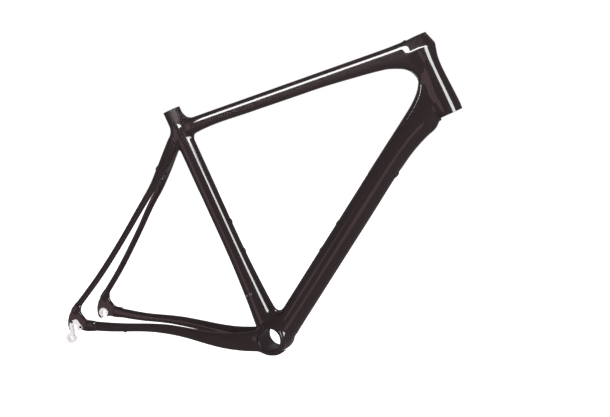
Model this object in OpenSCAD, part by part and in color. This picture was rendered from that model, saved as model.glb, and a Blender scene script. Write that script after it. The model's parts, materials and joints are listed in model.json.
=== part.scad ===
// Carbon road-bicycle frame, bare.
// Origin: centre of the bottom-bracket shell. +X forward, +Y to the rider's left, +Z up.
// Lengths in millimetres, angles in degrees.

/* [Frame geometry] */
// Seat tube angle from the horizontal
seat_angle = 72.9; // [72.4:0.1:73.4]
// Head tube angle from the horizontal
head_angle = 72.9; // [72.4:0.1:73.4]
// Seat tube length, bottom bracket centre to the top of the stub
seat_tube_length = 498; // [490:1:510]
// Forward distance from the bottom bracket centre to the lower end of the head tube axis
head_base_x = 426; // [420:1:432]
// Height of the lower end of the head tube axis above the bottom bracket centre
head_base_z = 401; // [396:1:406]
// Head tube length
head_length = 161; // [156:1:166]
// Bottom bracket centre to rear axle centre
chainstay_length = 406; // [403:1:409]
// Rear axle height above the bottom bracket centre
bb_drop = 70; // [67:1:73]
// Distance between the inner faces of the rear dropouts
axle_spacing = 130; // [128:1:132]

/* [Interfaces] */
// Width of the bottom-bracket shell
bb_width = 68; // [66:1:70]
// Bore of the bottom-bracket sleeve
bb_bore = 46; // [44:1:46]
// Seatpost diameter
seatpost_d = 31.6; // [30.9:0.1:31.6]
// Bore of the upper headset sleeve
upper_headset_bore = 34; // [33.9:0.1:34]
// Bore of the lower headset seat
lower_headset_bore = 42; // [41:0.1:42]
// Width of the rear axle slots
axle_slot = 10; // [9.5:0.1:10.2]
// Bore of the derailleur hanger thread
hanger_bore = 9; // [8.5:0.1:10]
// Centre distance of the bottle-cage bolts
bottle_pitch = 64; // [60:1:70]

/* [Tubes] */
// Outer diameter of the seat tube
seat_tube_d = 35; // [34.9:0.1:35.4]
// Outer diameter of the stub where the seatpost collar clamps
collar_seat_d = 34.8; // [34:0.1:34.8]
// Depth of the down tube
down_tube_depth = 49.6; // [47:0.1:51]
// Depth of the top tube at its slimmest
top_tube_depth = 28.5; // [27:0.1:30]
// Carbon wall thickness
wall = 1.6; // [1.2:0.1:2]
// Outer diameter of the bottom-bracket lug
bb_lug_d = 67; // [65:1:69]

/* [Hidden] */
$fn = 64;

carbon = [0.17, 0.13, 0.13];
alloy = [0.86, 0.86, 0.87];
black_plastic = [0.08, 0.08, 0.08];
steel = [0.62, 0.62, 0.64];

far = 400;
tube_sides = 24;
seat_dir = [-cos(seat_angle), 0, sin(seat_angle)];
head_dir = [-cos(head_angle), 0, sin(head_angle)];
head_base = [head_base_x, 0, head_base_z];
head_top = head_base + head_length * head_dir;
axle = [-sqrt(chainstay_length * chainstay_length - bb_drop * bb_drop), 0, bb_drop];
inner_face = axle_spacing / 2;

// Points along the seat tube and head tube axes
function seat_point(s) = s * seat_dir;
function head_point(s) = head_base + s * head_dir;

// Top tube axis, from the seat tube axis to the head tube axis
top_tube_seat_s = 457;
top_tube_head_s = 145;
top_start = seat_point(top_tube_seat_s);
top_end = head_point(top_tube_head_s);
// Down tube axis, from just under the bottom bracket centre to the head tube axis
down_tube_drop = 13;
down_tube_head_s = 57.5;
down_start = [0, 0, -down_tube_drop];
down_end = head_point(down_tube_head_s);
// Height on the head tube at which top tube and down tube meet
junction_s = 83;

// Seat tube: outer radius along its axis, [distance, radius]
seat_r = seat_tube_d / 2;
collar_seat_length = 20;
collar_seat_s = seat_tube_length - collar_seat_length;
collar_taper = 2;
seat_profile = [
    [30, 26], [50, seat_r + 7], [75, seat_r + 4.8], [100, seat_r + 3.4], [125, seat_r + 2.2],
    [150, seat_r + 1.1], [180, seat_r + 0.3], [210, seat_r], [collar_seat_s - collar_taper, seat_r],
    [collar_seat_s, collar_seat_d / 2], [seat_tube_length, collar_seat_d / 2]
];
seat_bore_floor = 20;
seatpost_sleeve_r = seatpost_d / 2 + 0.6;
seatpost_sleeve_length = 110;

// Head tube: outer radius along its axis, [distance, radius]
head_profile = [
    [0, 23.4], [10, 24], [25, 23.6], [49, 22.4], [75, 21.1], [99, 20.9], [112, 22.2],
    [122, 24.6], [137, 27.4], [head_length, 19.4]
];
headset_seat_depth = 12;
glue_gap = 0.3;
// Lower bearing: depth of its seat, relief groove behind it, and the shoulder down to the steerer
bearing_depth = 7;
relief_width = 0.5;
relief_step = 0.4;
shoulder_step = 0.6;
shoulder_in = 3;
upper_sleeve_r = upper_headset_bore / 2 + 1;
lip_overlap = 0.1;
lead_in = 0.5;
lower_seat_r = lower_headset_bore / 2 + 1.1;

// Bottom-bracket sleeve
bb_sleeve_r = bb_bore / 2 + 1.5;

// Chainstay: [x, distance from the centre plane, z, half depth, half width]
chainstay_path = [
    [-22, 23.5, -1.4, 21.6, 9.5], [-45, 26, -0.6, 20, 9.5], [-70, 29, 2.2, 17.9, 9.5],
    [-97, 32, 7, 15.7, 9.5], [-133, 36, 17.2, 12.6, 9],
    [-174, 37.5, 30.8, 10.2, 8.5], [-211, 39, 41, 9.5, 8], [-240, 42, 47, 8.6, 7.6],
    [-268, 46, 51, 8.2, 7.2], [-300, 52.5, 55, 8.5, 7], [-330, 60, 60, 9.2, 6.4],
    [-372, 68.5, 69, 10, 5]
];
// Seatstay: [x, distance from the centre plane, z, half depth, half width]
seatstay_path = [
    [-176, 19, 368, 9, 8.5], [-190, 21.5, 347, 8, 8], [-206, 23.5, 324.5, 7.2, 7.4],
    [-235, 27.5, 289.5, 6.6, 6.8], [-269, 36.5, 245.5, 6, 6.2], [-305, 45.5, 201, 6, 6],
    [-343, 56, 157, 6, 6], [-364, 62, 135, 6, 5.8], [-386, 67.5, 112.5, 6.2, 5], [-396, 69, 101, 6.2, 4.6]
];
// Wishbone crown: [x, 0, z, half depth, half width]
crown_path = [
    [-130, 0, 440, 8, 12], [-150, 0, 415, 12.5, 14.5], [-163, 0, 395, 12.2, 16],
    [-178, 0, 372, 11.6, 19], [-190, 0, 354, 10.6, 23], [-199, 0, 338, 9, 27]
];
arch_top = [-195, 0, 346];
arch_r = 15.5;
arch_width = 80;
arch_drop = 60;
stay_slope = 58;
leg_cut = [-206, 0, 324.5];

// Rear end outline, forward and up from the rear axle centre
rear_end_outline = [
    [9.2, 46], [-1, 35.5], [-9, 24.5], [-13.4, 14], [-15.2, 4.5], [-14.8, -4.5], [-12.6, -10.4],
    [-9, -11.6], [-5.4, -10], [5.4, -10], [9, -8.6], [14, -9.2], [19, -11], [28, -12.8],
    [40.1, -13.2], [43.9, 6], [29.8, 8.6], [25, 13.6], [20, 21], [17, 28], [18.3, 37.4]
];
chainstay_joint = [42, 0, -3.6];
chainstay_joint_angle = -11.2;
seatstay_joint = [13.8, 0, 41.7];
seatstay_joint_angle = 46.6;
rear_end_t = 8.6;
hood_step = 0.4;
slot_reach = 20;

// Alloy plate seen inside the right-hand hood, forward and up from the rear axle centre
plate_outline = [
    [-11, -10.2], [-11.8, -1], [-9.4, 7], [-4.8, 12], [0, 13.4], [5.6, 14.2], [8.6, 12.8],
    [13, 5], [17.6, -3], [14.4, -8.6], [8, -8], [5.2, -9.4], [-5.2, -9.4]
];
axle_face_r = 10;
plate_depth = 6.4;
plate_t = 2;
hanger_hole = [-12.5, -23.5];
hanger_tab_r = 10.5;
hanger_tab_t = 8;
hanger_t = 3.2;
// Neck that joins the plate to the round tab of the hanger
hanger_neck = [
    [-12.2, -11.8], [-5.2, -9.2], [-3.6, -13], [-2.2, -19], [-2, -23.5], [-12.5, -30],
    [-23, -23.5], [-22.2, -19], [-19.6, -15.6], [-16, -13]
];
hanger_screw_points = [[-4.6, 9.4], [13.2, -2.6]];
screw_head_r = 2.7;
screw_shank_r = 1.5;
// Six-sided socket in each screw head
socket_r = 1.4;
socket_depth = 1.2;

// Small parts
cover_plate_s = 98;
cover_plate_length = 17;
cover_plate_width = 8;
cover_plate_t = 1;
// Angles round the tube, rearward from the drive side
rivet_turns = [0, 28];
rivet_head_r = 2.9;
rivet_shank_r = 2.1;
rivet_bore_r = 1.2;
rivet_head_t = 0.8;
rivet_head_step = 0.4;
rivet_depth = 5;
// The two rivet holes lean towards each other, and start this far out so that they never meet
rivet_hole_start = 12;
rivet_bore_floor = 2;
side_reach = 40;
insert_r = 3.5;
insert_flange_r = 5.5;
insert_flange_t = 0.8;
insert_length = 11;
insert_bore_r = 2.1;
down_bottle_s = 250;
seat_bottle_s = 215;
brake_hole = [-187.5, 0, 357.5];
brake_sleeve_r = 5;
brake_bore_r = 3;
brake_sleeve_length = 25;
brake_bore_reach = 60;
guide_t = 1.6;
guide_length = 34;
guide_width = 26;
guide_groove_r = 1.2;
guide_groove_y = 7;
guide_screw_r = 2;
guide_screw_head_r = 4;
guide_screw_length = 9;
guide_screw_head_t = 1.4;
guide_top = -20;
brake_port_s = [62, 420];
brake_port_r = 3.6;
brake_port_flange_r = 5;
brake_port_flange_t = 1.2;
gear_port_s = 430;
gear_port_length = 18;
gear_port_width = 11;
gear_port_proud = 0.6;
gear_port_bore_y = 4;
port_bore_r = 2.2;
port_depth = 5;
chainstay_port = [-300, -52.5, 47.5];
chainstay_port_dir = [-0.6, 0, -0.8];
chainstay_port_r = 3.8;
chainstay_port_depth = 6;
chainstay_port_proud = 1.4;
// Clearance between a small part and the hole it's bonded in
bond_gap = 0.05;

// Directions and bolt places on the tubes
down_dir = (down_end - down_start) / norm(down_end - down_start);
down_up = [-down_dir.z, 0, down_dir.x];
down_bottle_points = [
    for (k = [-1, 1]) down_start + (down_bottle_s + k * bottle_pitch / 2) * down_dir
        + down_up * down_tube_depth / 2
];
seat_front = [sin(seat_angle), 0, cos(seat_angle)];
seat_bottle_points = [
    for (k = [-1, 1])
        let (s = seat_bottle_s + k * bottle_pitch / 2)
        seat_point(s) + seat_front * lookup(s, seat_profile)
];

// Top tube: [distance, above, below, half width], flared into the head tube
top_up = 13;
top_below = top_tube_depth - top_up;
top_sections = [
    [4, top_up, 16, 15], [16, top_up, 17, 16], [26, top_up, 22, 17], [38, top_up, 17.4, 17],
    [60, top_up, top_below, 17], [150, top_up, top_below + 0.1, 17], [240, top_up, top_below + 0.8, 17],
    [320, top_up, top_below + 1.5, 17.2], [385, top_up, top_below + 4.7, 17.8],
    [430, top_up, top_below + 7.7, 18.6], [455, top_up, top_below + 10.7, 19.3],
    [473, 13.3, 31.8, 19.8], [485, 13.8, 36.4, 20.3], [495, 14.4, 44, 20.8], [502, 15, 53, 21],
    [507, 15.4, 68, 21], [535, 22, 68, 21]
];

// Down tube: [distance, above, below, half width], with the chin under the head tube
down_half = down_tube_depth / 2;
down_sections = [
    [8, down_half, down_half, 29], [40, down_half, down_half, 28.5], [70, down_half, down_half, 27],
    [110, down_half, down_half, 25.6], [200, down_half, down_half, 25],
    [330, down_half, down_half, 24.8], [450, down_half, down_half, 24.4],
    [480, down_half - 0.2, down_half + 1.4, 24], [506, 24.3, 29.5, 23.6], [533, 24.3, 34.9, 23],
    [551, 24.3, 40, 22.4], [561, 24.6, 38.6, 22], [571, 25.6, 36, 21.6], [586, 28.2, 32, 21.2],
    [601, 33.6, 30, 21], [609, 38.5, 29, 21], [640, 58, 28, 20]
];

// Outer face of the hanger, and other small derived sizes
hanger_outer = inner_face + plate_depth + hanger_t;
screw_head_t = 1.4;
lug_chamfer = 2.6;
steerer_bore_r = 16.5;

// Squareness of each tube's section (2 is an ellipse), and where each hollow stops
top_squareness = 2.4;
down_squareness = 2.2;
seatstay_squareness = 2.3;
chainstay_squareness = 2.6;
crown_squareness = 2.6;
top_hollow_end = 500;
down_hollow_end = 600;
seatstay_hollow_z = 125;
chainstay_hollow_x = -345;

// ---- shared shapes ----

// A ring of points round centre c: h along up, w along side, p is the squareness (2 is an ellipse)
function ring(c, up, side, h, w, p) = [
    for (i = [0:tube_sides - 1])
        let (ca = cos(360 * i / tube_sides), sa = sin(360 * i / tube_sides))
        c + up * h * sign(ca) * pow(abs(ca), 2 / p) + side * w * sign(sa) * pow(abs(sa), 2 / p)
];

// Closed skin over a list of rings
module loft(rings) {
    last = len(rings) - 1;
    n = tube_sides;
    points = [for (r = rings) each r];
    start_cap = [[for (i = [n - 1:-1:0]) i]];
    end_cap = [[for (i = [0:n - 1]) last * n + i]];
    skin = [
        for (k = [0:last - 1], i = [0:n - 1])
            let (a = k * n + i, b = k * n + (i + 1) % n)
            each [[a, b + n, a + n], [a, b, b + n]]
    ];
    polyhedron(points = points, faces = concat(start_cap, skin, end_cap), convexity = 6);
}

// Unit vector, and the upward normal of a direction in the centre plane
function unit(v) = v / norm(v);
function normal_of(d) = [-d.z, 0, d.x];

// Rings of a straight tube in the centre plane. Stations: [distance, above, below, half width]
function straight_rings(start, end, stations, thin, p) =
    let (d = unit(end - start), up = normal_of(d))
    [
        for (s = stations)
            ring(start + s[0] * d + up * (s[1] - s[2]) / 2, up, [0, 1, 0],
                 (s[1] + s[2]) / 2 - thin, s[3] - thin, p)
    ];

// Rings of a curved stay. Stations: [x, y, z, half depth, half width]; side is 1 left, -1 right
function stay_point(s, side) = [s[0], side * s[1], s[2]];
function stay_rings(path, side, thin, p) =
    let (last = len(path) - 1)
    [
        for (k = [0:last])
            let (
                ahead = stay_point(path[min(k + 1, last)], side),
                behind = stay_point(path[max(k - 1, 0)], side),
                t = unit(ahead - behind),
                up = unit(cross(t, [0, -1, 0])),
                across = cross(up, t)
            )
            ring(stay_point(path[k], side), up, across, path[k][3] - thin, path[k][4] - thin, p)
    ];

// Place children with their Z along dir, a direction in the centre plane
module along(p, dir) {
    translate(p) rotate([0, atan2(dir.x, dir.z), 0]) children();
}

// Extrude a flat outline (forward, up) from y to y + t
module upright(y, t) {
    translate([0, y + t, 0]) rotate([90, 0, 0]) linear_extrude(t) children();
}

// Everything beyond the plane through p whose normal rises by angle from +X
module beyond(p, angle) {
    translate(p) rotate([0, -angle, 0]) translate([0, -far, -far]) cube(2 * far);
}

// Solid of revolution round Z from [distance, radius] stations
module turned(profile, grow = 0) {
    first = profile[0][0];
    last = profile[len(profile) - 1][0];
    rotate_extrude()
        polygon(concat([[0, first]], [for (s = profile) [s[1] + grow, s[0]]], [[0, last]]));
}

module pipe(r_out, r_in, length) {
    difference() {
        cylinder(r = r_out, h = length);
        translate([0, 0, -1]) cylinder(r = r_in, h = length + 2);
    }
}

module stadium(length, width) {
    square([width, length - width], center = true);
    for (k = [-1, 1]) translate([0, k * (length - width) / 2]) circle(d = width);
}

// ---- solids that neighbouring pieces are cut back to ----

module seat_tube_solid(grow = 0) along([0, 0, 0], seat_dir) turned(seat_profile, grow);

module head_tube_solid() along(head_base, head_dir) turned(head_profile);

module bb_lug_solid(grow = 0) {
    half = bb_width / 2;
    r = bb_lug_d / 2 + grow;
    rotate([90, 0, 0]) rotate_extrude()
        polygon([[0, -half], [r - lug_chamfer, -half], [r, -half + lug_chamfer],
                 [r, half - lug_chamfer], [r - lug_chamfer, half], [0, half]]);
}

module top_tube_skin(thin = 0) {
    sections = thin > 0 ? [for (s = top_sections) if (s[0] < top_hollow_end) s] : top_sections;
    loft(straight_rings(top_start, top_end, sections, thin, top_squareness));
}

module down_tube_skin(thin = 0) {
    sections = thin > 0 ? [for (s = down_sections) if (s[0] < down_hollow_end) s] : down_sections;
    loft(straight_rings(down_start, down_end, sections, thin, down_squareness));
}

module seatstay_skin(side, thin = 0) {
    path = thin > 0 ? [for (s = seatstay_path) if (s[2] > seatstay_hollow_z) s] : seatstay_path;
    loft(stay_rings(path, side, thin, seatstay_squareness));
}

module chainstay_skin(side, thin = 0) {
    path = thin > 0 ? [for (s = chainstay_path) if (s[0] > chainstay_hollow_x) s] : chainstay_path;
    loft(stay_rings(path, side, thin, chainstay_squareness));
}

// ---- front triangle ----

module head_tube() color(carbon) difference() {
    head_tube_solid();
    along(head_base, head_dir) {
        translate([0, 0, -1]) cylinder(r = lower_seat_r, h = headset_seat_depth + 1);
        translate([0, 0, head_length - headset_seat_depth - glue_gap])
            cylinder(r = upper_sleeve_r, h = headset_seat_depth + 1);
        translate([0, 0, -1]) cylinder(r = steerer_bore_r, h = head_length + 2);
    }
}

module top_tube() color(carbon) resize([0, 0, 0]) difference() {
    top_tube_skin();
    top_tube_skin(wall);
    seat_tube_solid();
    head_tube_solid();
    beyond(head_base, 90 - head_angle);
    beyond(head_point(junction_s), -head_angle);
    along(head_top, head_dir) translate([-upper_sleeve_r - 3, -far, -lip_overlap]) cube(2 * far);
    brake_port_bodies(bond_gap);
}

module down_tube() color(carbon) resize([0, 0, 0]) difference() {
    down_tube_skin();
    down_tube_skin(wall);
    bb_lug_solid();
    seat_tube_solid();
    head_tube_solid();
    beyond(head_base, 90 - head_angle);
    beyond(head_point(junction_s), 180 - head_angle);
    insert_bodies(down_bottle_points, down_up, bond_gap);
    gear_port_body(bond_gap);
}

module seat_tube() color(carbon) difference() {
    seat_tube_solid();
    along([0, 0, 0], seat_dir) translate([0, 0, seat_bore_floor])
        cylinder(r = seatpost_sleeve_r, h = seat_tube_length);
    bb_lug_solid();
    insert_bodies(seat_bottle_points, seat_front, 0);
    rivet_shanks();
}

module bb_shell() color(carbon) difference() {
    bb_lug_solid();
    rotate([90, 0, 0]) cylinder(r = bb_sleeve_r, h = bb_width + 2, center = true);
    guide_screw_shank();
}

// ---- rear triangle ----

module chainstay(side) color(carbon) resize([0, 0, 0]) difference() {
    chainstay_skin(side);
    chainstay_skin(side, wall);
    bb_lug_solid();
    seat_tube_solid();
    down_tube_skin();
    beyond(axle + chainstay_joint, 180 + chainstay_joint_angle);
    if (side < 0) chainstay_port_body(bond_gap);
}

module wishbone_crown() color(carbon) difference() {
    resize([0, 0, 0]) difference() {
        union() {
            loft(stay_rings(crown_path, 1, 0, crown_squareness));
            seatstay_skin(1);
            seatstay_skin(-1);
        }
        seat_tube_solid();
        top_tube_skin();
        beyond(leg_cut, 180 + stay_slope);
        arch_cutter();
    }
    brake_bore(brake_sleeve_r);
}

// Room for the tyre under the crown: round above, straight below
module arch_cutter() along(arch_top, [cos(stay_slope), 0, sin(stay_slope)]) {
    translate([0, 0, -arch_r]) rotate([0, 90, 0]) cylinder(r = arch_r, h = arch_width, center = true);
    translate([-arch_width / 2, -arch_r, -arch_r - arch_drop]) cube([arch_width, 2 * arch_r, arch_drop]);
}

module brake_bore(r) along(brake_hole, [cos(stay_slope - 90), 0, sin(stay_slope - 90)])
    cylinder(r = r, h = brake_bore_reach, center = true);

module seatstay(side) color(carbon) resize([0, 0, 0]) difference() {
    seatstay_skin(side);
    seatstay_skin(side, wall);
    beyond(leg_cut, stay_slope);
    beyond(axle + seatstay_joint, 180 + seatstay_joint_angle);
}

// ---- rear ends ----

// Distance from the centre plane turned into the lower y of a slab, on either side
function slab_y(side, near, t) = side > 0 ? near : -near - t;

module at_axle() translate(axle) children();

module slot_cutter() {
    rotate([90, 0, 0]) cylinder(d = axle_slot, h = 2 * far, center = true);
    translate([-axle_slot / 2, -far, -slot_reach]) cube([axle_slot, 2 * far, slot_reach]);
}

module axle_disc(side, near, t) upright(slab_y(side, near, t), t) circle(r = axle_face_r);

module rear_end(side) color(carbon) at_axle() difference() {
    hood_y = inner_face + hood_step;
    upright(slab_y(side, hood_y, rear_end_t), rear_end_t) polygon(rear_end_outline);
    slot_cutter();
    axle_disc(side, inner_face, rear_end_t + 2);
    if (side < 0)
        upright(slab_y(side, inner_face + plate_depth - plate_t, far), far) polygon(plate_outline);
}

module dropout_left() color(alloy) at_axle() difference() {
    axle_disc(1, inner_face, rear_end_t + 2 * hood_step);
    slot_cutter();
}

module dropout_right() color(alloy) at_axle() difference() {
    union() {
        axle_disc(-1, inner_face, plate_depth);
        upright(slab_y(-1, inner_face + plate_depth - plate_t, plate_t), plate_t)
            polygon(plate_outline);
    }
    slot_cutter();
    hanger_screw_shapes();
}

module derailleur_hanger() color(alloy) at_axle() difference() {
    union() {
        upright(slab_y(-1, inner_face + plate_depth, hanger_t), hanger_t) polygon(plate_outline);
        upright(slab_y(-1, hanger_outer - hanger_tab_t, hanger_tab_t), hanger_tab_t) {
            translate(hanger_hole) circle(r = hanger_tab_r);
            polygon(hanger_neck);
        }
    }
    slot_cutter();
    hanger_screw_shapes();
    translate([hanger_hole.x, 0, hanger_hole.y]) rotate([90, 0, 0]) cylinder(d = hanger_bore, h = far);
}

module hanger_screw_shapes() for (p = hanger_screw_points)
    translate([p.x, -hanger_outer, p.y]) rotate([-90, 0, 0]) {
        cylinder(r = screw_head_r, h = screw_head_t);
        cylinder(r = screw_shank_r, h = hanger_t + plate_t);
    }

module hanger_screws() color(steel) at_axle() difference() {
    hanger_screw_shapes();
    for (p = hanger_screw_points)
        translate([p.x, -hanger_outer - 1, p.y]) rotate([-90, 0, 0])
            cylinder(r = socket_r, h = socket_depth + 1, $fn = 6);
}

// ---- bonded sleeves ----

// Press-fit ring for the upper cup, with a lead-in at each end of its bore
module upper_headset_sleeve() color(alloy) along(head_base, head_dir)
    translate([0, 0, head_length - headset_seat_depth]) rotate_extrude() {
        r = upper_headset_bore / 2;
        polygon([
            [r + lead_in, 0], [upper_sleeve_r, 0], [upper_sleeve_r, headset_seat_depth],
            [r + lead_in, headset_seat_depth], [r, headset_seat_depth - lead_in], [r, lead_in]
        ]);
    }

// Straight seat for the bearing, a relief groove, then a shoulder that narrows to the steerer passage
module lower_headset_seat() color(alloy) along(head_base, head_dir) rotate_extrude() {
    r = lower_headset_bore / 2;
    groove_end = bearing_depth + relief_width;
    polygon([
        [r, 0], [lower_seat_r, 0], [lower_seat_r, headset_seat_depth],
        [r - shoulder_in, headset_seat_depth], [r - shoulder_step, groove_end + relief_step],
        [r + relief_step, groove_end], [r + relief_step, bearing_depth], [r, bearing_depth]
    ]);
}

module bb_sleeve() color(alloy) translate([0, bb_width / 2, 0]) rotate([90, 0, 0])
    pipe(bb_sleeve_r, bb_bore / 2, bb_width);

module seatpost_sleeve() color(alloy)
    along(seat_point(seat_tube_length - seatpost_sleeve_length), seat_dir)
        pipe(seatpost_sleeve_r, seatpost_d / 2, seatpost_sleeve_length);

module brake_bolt_sleeve() color(alloy)
    along(brake_hole, [cos(stay_slope - 90), 0, sin(stay_slope - 90)])
        translate([0, 0, -brake_sleeve_length / 2])
            pipe(brake_sleeve_r, brake_bore_r, brake_sleeve_length);

// ---- cover plate on the drive side of the seat tube ----

// Children drawn at distance s up the seat tube, turned rearward from the drive side, Z outward
module on_drive_side(s, turn)
    along([0, 0, 0], seat_dir) rotate([0, 0, -turn]) translate([0, 0, s]) rotate([90, 0, 0]) children();

module rivet_shanks() for (turn = rivet_turns)
    on_drive_side(cover_plate_s, turn) translate([0, 0, rivet_hole_start])
        cylinder(r = rivet_shank_r, h = side_reach);

module cable_cover_plate() color(carbon) difference() {
    intersection() {
        seat_tube_solid(cover_plate_t);
        on_drive_side(cover_plate_s, (rivet_turns[0] + rivet_turns[1]) / 2) linear_extrude(side_reach)
            rotate(90) stadium(cover_plate_length, cover_plate_width);
    }
    seat_tube_solid();
    rivet_shanks();
}

module cover_plate_rivets() color(alloy) for (turn = rivet_turns) {
    r = lookup(cover_plate_s, seat_profile) + cover_plate_t;
    on_drive_side(cover_plate_s, turn) translate([0, 0, r - rivet_depth]) difference() {
        union() {
            cylinder(r = rivet_shank_r, h = rivet_depth + rivet_head_t);
            translate([0, 0, rivet_depth + rivet_head_step]) cylinder(r = rivet_head_r, h = rivet_head_t);
        }
        translate([0, 0, rivet_bore_floor]) cylinder(r = rivet_bore_r, h = rivet_depth);
    }
}

// ---- bottle-cage inserts ----

module insert_bodies(points, dir, grow) for (p = points)
    along(p, dir) translate([0, 0, -insert_length]) cylinder(r = insert_r + grow, h = insert_length + 2);

module inserts(points, dir) color(alloy) for (p = points)
    along(p, dir) difference() {
        union() {
            translate([0, 0, -insert_length]) cylinder(r = insert_r, h = insert_length);
            cylinder(r = insert_flange_r, h = insert_flange_t);
        }
        translate([0, 0, -insert_length - 1]) cylinder(r = insert_bore_r, h = insert_length + 3);
    }

module down_tube_bottle_inserts() inserts(down_bottle_points, down_up);
module seat_tube_bottle_inserts() inserts(seat_bottle_points, seat_front);

// ---- cable routing ----

module guide_screw_shank() translate([0, 0, -bb_lug_d / 2 - guide_t])
    cylinder(r = guide_screw_r, h = guide_screw_length);

module bb_cable_guide() color(black_plastic) difference() {
    bb_lug_solid(guide_t);
    bb_lug_solid();
    translate([-far, -far, guide_top]) cube(2 * far);
    for (k = [-1, 1]) {
        translate([k * (far + guide_width / 2), 0, 0]) cube(2 * far, center = true);
        translate([0, k * (far + guide_length / 2), 0]) cube(2 * far, center = true);
        translate([0, k * guide_groove_y, -bb_lug_d / 2 - guide_t]) rotate([0, 90, 0])
            cylinder(r = guide_groove_r, h = far, center = true);
    }
    guide_screw_shank();
    translate([0, 0, -bb_lug_d / 2 - guide_t - 1])
        cylinder(r = guide_screw_head_r, h = guide_screw_head_t + 1);
}

module cable_guide_screw() color(steel) difference() {
    union() {
        guide_screw_shank();
        translate([0, 0, -bb_lug_d / 2 - guide_t])
            cylinder(r = guide_screw_head_r, h = guide_screw_head_t);
    }
    translate([0, 0, -bb_lug_d / 2 - guide_t - 1]) cylinder(r = socket_r, h = socket_depth + 1, $fn = 6);
}

module brake_port_bodies(grow) for (s = brake_port_s)
    on_top_tube_side(s) translate([0, 0, -port_depth]) cylinder(r = brake_port_r + grow, h = port_depth);

// Children drawn on the left flank of the top tube, with their Z pointing outward
module on_top_tube_side(s) {
    d = unit(top_end - top_start);
    half_width = lookup(s, [for (k = top_sections) [k[0], k[3]]]);
    middle = top_start + s * d - normal_of(d);
    translate([middle.x, half_width + 0.1, middle.z]) rotate([-90, 0, 0]) children();
}

module brake_cable_ports() color(black_plastic) for (s = brake_port_s)
    on_top_tube_side(s) difference() {
        union() {
            cylinder(r = brake_port_flange_r, h = brake_port_flange_t);
            translate([0, 0, -port_depth]) cylinder(r = brake_port_r, h = port_depth);
        }
        translate([0, 0, -port_depth - 1]) cylinder(r = port_bore_r, h = 2 * port_depth);
    }

module on_down_tube_belly(s) along(down_start + s * down_dir - down_up * down_tube_depth / 2, -down_up)
    children();

module gear_port_body(grow = 0) on_down_tube_belly(gear_port_s) translate([0, 0, -port_depth])
    linear_extrude(port_depth + gear_port_proud)
        stadium(gear_port_length + 2 * grow, gear_port_width + 2 * grow);

module gear_cable_port() color(black_plastic) difference() {
    gear_port_body();
    on_down_tube_belly(gear_port_s) for (k = [-1, 1])
        translate([0, k * gear_port_bore_y, -port_depth - 1])
            cylinder(r = port_bore_r, h = 2 * port_depth);
}

module chainstay_port_body(grow) along(chainstay_port, chainstay_port_dir)
    translate([0, 0, -chainstay_port_depth])
        cylinder(r = chainstay_port_r + grow, h = 2 * chainstay_port_depth);

module chainstay_cable_port() color(black_plastic) along(chainstay_port, chainstay_port_dir)
    translate([0, 0, -chainstay_port_depth])
        pipe(chainstay_port_r, port_bore_r, chainstay_port_depth + chainstay_port_proud);

head_tube();
top_tube();
down_tube();
seat_tube();
bb_shell();
chainstay(1);  // chainstay_left
chainstay(-1);  // chainstay_right
wishbone_crown();
seatstay(1);  // seatstay_left
seatstay(-1);  // seatstay_right
rear_end(1);  // rear_end_left
rear_end(-1);  // rear_end_right
dropout_left();
dropout_right();
derailleur_hanger();
hanger_screws();
upper_headset_sleeve();
lower_headset_seat();
bb_sleeve();
seatpost_sleeve();
cable_cover_plate();
cover_plate_rivets();
down_tube_bottle_inserts();
seat_tube_bottle_inserts();
brake_bolt_sleeve();
bb_cable_guide();
cable_guide_screw();
brake_cable_ports();
gear_cable_port();
chainstay_cable_port();
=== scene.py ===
"""Bare carbon road-bicycle frame: a smooth lacquered skin round the CAD frame, cut into its real mouldings.

Lengths inside this script are millimetres until a mesh is made. +X forward, +Y left, +Z up.
"""
import json
import math

import bmesh
import bpy
import numpy as np
from mathutils import Matrix, Vector


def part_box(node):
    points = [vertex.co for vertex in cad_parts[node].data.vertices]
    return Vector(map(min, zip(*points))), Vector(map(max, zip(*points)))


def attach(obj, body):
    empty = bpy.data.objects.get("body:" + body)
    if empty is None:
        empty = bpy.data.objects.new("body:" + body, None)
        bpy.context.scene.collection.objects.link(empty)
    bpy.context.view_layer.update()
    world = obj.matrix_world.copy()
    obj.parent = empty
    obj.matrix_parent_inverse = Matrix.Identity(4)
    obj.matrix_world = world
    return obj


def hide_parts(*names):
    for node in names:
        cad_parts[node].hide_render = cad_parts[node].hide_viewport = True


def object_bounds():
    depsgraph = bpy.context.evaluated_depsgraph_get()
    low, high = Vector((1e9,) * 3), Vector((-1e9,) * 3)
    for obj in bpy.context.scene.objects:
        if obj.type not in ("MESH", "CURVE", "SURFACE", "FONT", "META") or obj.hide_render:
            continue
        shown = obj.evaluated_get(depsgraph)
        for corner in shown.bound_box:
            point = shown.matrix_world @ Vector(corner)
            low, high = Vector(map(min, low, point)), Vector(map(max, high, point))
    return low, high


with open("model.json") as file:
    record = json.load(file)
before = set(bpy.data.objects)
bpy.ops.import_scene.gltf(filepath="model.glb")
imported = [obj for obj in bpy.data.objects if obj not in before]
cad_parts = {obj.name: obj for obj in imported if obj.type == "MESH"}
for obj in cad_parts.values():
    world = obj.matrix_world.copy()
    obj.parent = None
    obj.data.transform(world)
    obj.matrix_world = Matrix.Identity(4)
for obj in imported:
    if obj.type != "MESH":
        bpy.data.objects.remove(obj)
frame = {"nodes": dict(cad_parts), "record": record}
cad_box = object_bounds()

MM = 0.001
MOUNTS = {m["name"]: m for m in frame["record"]["mounts"]}


def mount_point(name):
    return np.array(MOUNTS[name]["pos_m"]) / MM


def mount_axis(name):
    return np.array(MOUNTS[name]["axis"])


def front_of(direction):
    """The forward normal, in the centre plane, of a direction that points up."""
    return np.array([direction[2], 0.0, -direction[0]])


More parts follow.
